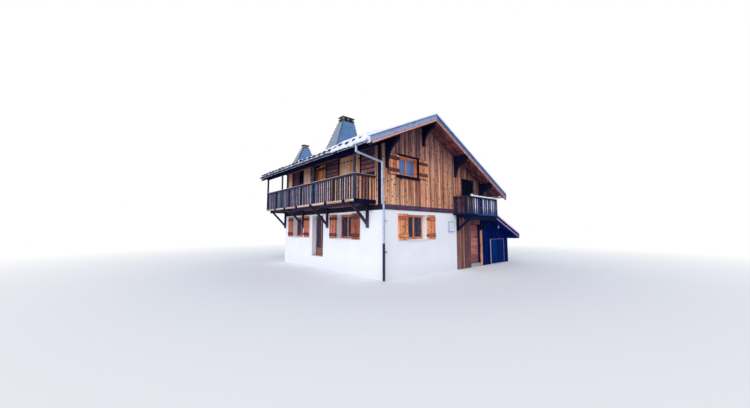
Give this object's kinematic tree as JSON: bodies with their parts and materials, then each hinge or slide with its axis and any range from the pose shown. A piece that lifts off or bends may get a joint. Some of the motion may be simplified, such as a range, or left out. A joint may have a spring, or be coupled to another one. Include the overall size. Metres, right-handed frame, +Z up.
{
  "type": "alpine chalet",
  "caption": "Alpine chalet with a rendered ground storey, boarded upper storey, two balconies with cut railings, wide roof, clad chimneys and a lean-to.",
  "frame": {"origin": "bottom centre of the whole building's bounding box, at the lowest ground", "axes": "+X runs right along the front gable as seen from outside, +Y runs from the front gable to the back, +Z up"},
  "size_m": [12.6, 10.23, 8.44],
  "materials": {
    "render": "matt lime render",
    "weathered_boards": "sun-browned boards",
    "concrete": "plain floated",
    "floor_boards": "bare boards",
    "dark_timber": "dark stained",
    "squared_logs": "weathered logs",
    "roof_tiles": "snow-covered tiles",
    "verge_sheet": "dull grey-blue sheet",
    "zinc": "dull zinc",
    "chimney_sheet": "grey-blue sheet shingles",
    "honey_pine": "varnished pine",
    "red_planks": "red-brown stain",
    "brown_paint": "brown stain",
    "shed_boards": "near-black boards",
    "deck_boards": "weathered boards",
    "weathered_railing": "grey-brown weathered boards",
    "pale_plastic": "matt"
  },
  "bodies": {
    "house": {"back_gable_window": "honey_pine", "back_wall": "render", "back_window": "honey_pine", "balcony_door": "honey_pine", "balcony_posts": "dark_timber", "belt_beams": "dark_timber", "chimney_large": "chimney_sheet", "chimney_small": "chimney_sheet", "downpipe": "zinc", "entrance_lintel": "weathered_boards", "entrance_wall": "weathered_boards", "first_floor": "floor_boards", "front_wall": "render", "front_window": "honey_pine", "gable_balcony_deck": "deck_boards", "gable_balcony_frame": "dark_timber", "gable_door": "dark_timber", "gable_railing": "weathered_railing", "gable_railing_left": "weathered_railing", "gable_railing_right": "weathered_railing", "gable_wall_back": "weathered_boards", "gable_wall_front": "weathered_boards", "gable_window": "honey_pine", "ground_floor": "concrete", "gutter_left": "zinc", "gutter_right": "zinc", "left_balcony_deck": "deck_boards", "left_balcony_frame": "dark_timber", "left_loose_shutter": "honey_pine", "left_purlin": "dark_timber", "left_railing": "weathered_railing", "left_railing_front": "weathered_railing", "left_railing_rear": "weathered_railing", "left_wall_front": "render", "left_wall_lintel": "render", "left_wall_rear": "render", "left_window_front": "honey_pine", "left_window_rear": "honey_pine", "meter_box": "pale_plastic", "middle_purlin": "dark_timber", "plank_door": "honey_pine", "ridge_purlin": "dark_timber", "right_purlin": "dark_timber", "right_wall": "weathered_boards", "roof_left": "roof_tiles", "roof_right": "roof_tiles", "shed_back_wall": "shed_boards", "shed_corner_wall": "shed_boards", "shed_front_wall": "shed_boards", "shed_gable": "shed_boards", "shed_roof": "dark_timber", "shed_side_wall": "shed_boards", "upper_left_wall": "squared_logs", "upper_left_window": "honey_pine", "verge_back": "verge_sheet", "verge_front": "verge_sheet"},
    "entrance_leaf": {"entrance_door": "red_planks"},
    "terrace_leaf": {"terrace_door": "brown_paint"},
    "shed_leaf": {"shed_door": "shed_boards"}
  },
  "joints": [
    {"name": "entrance_hinge", "type": "hinge", "parent": "house", "child": "entrance_leaf", "pos_m": [2.43, -4.091, 1.2], "axis": [0, 0, -1], "range_deg": [0, 90]},
    {"name": "terrace_hinge", "type": "hinge", "parent": "house", "child": "terrace_leaf", "pos_m": [-4.436, 0.265, 1.7], "axis": [0, 0, -1], "range_deg": [0, 90]},
    {"name": "shed_hinge", "type": "hinge", "parent": "house", "child": "shed_leaf", "pos_m": [3.61, -4.319, 0.7], "axis": [0, 0, -1], "range_deg": [0, 100]}
  ]
}
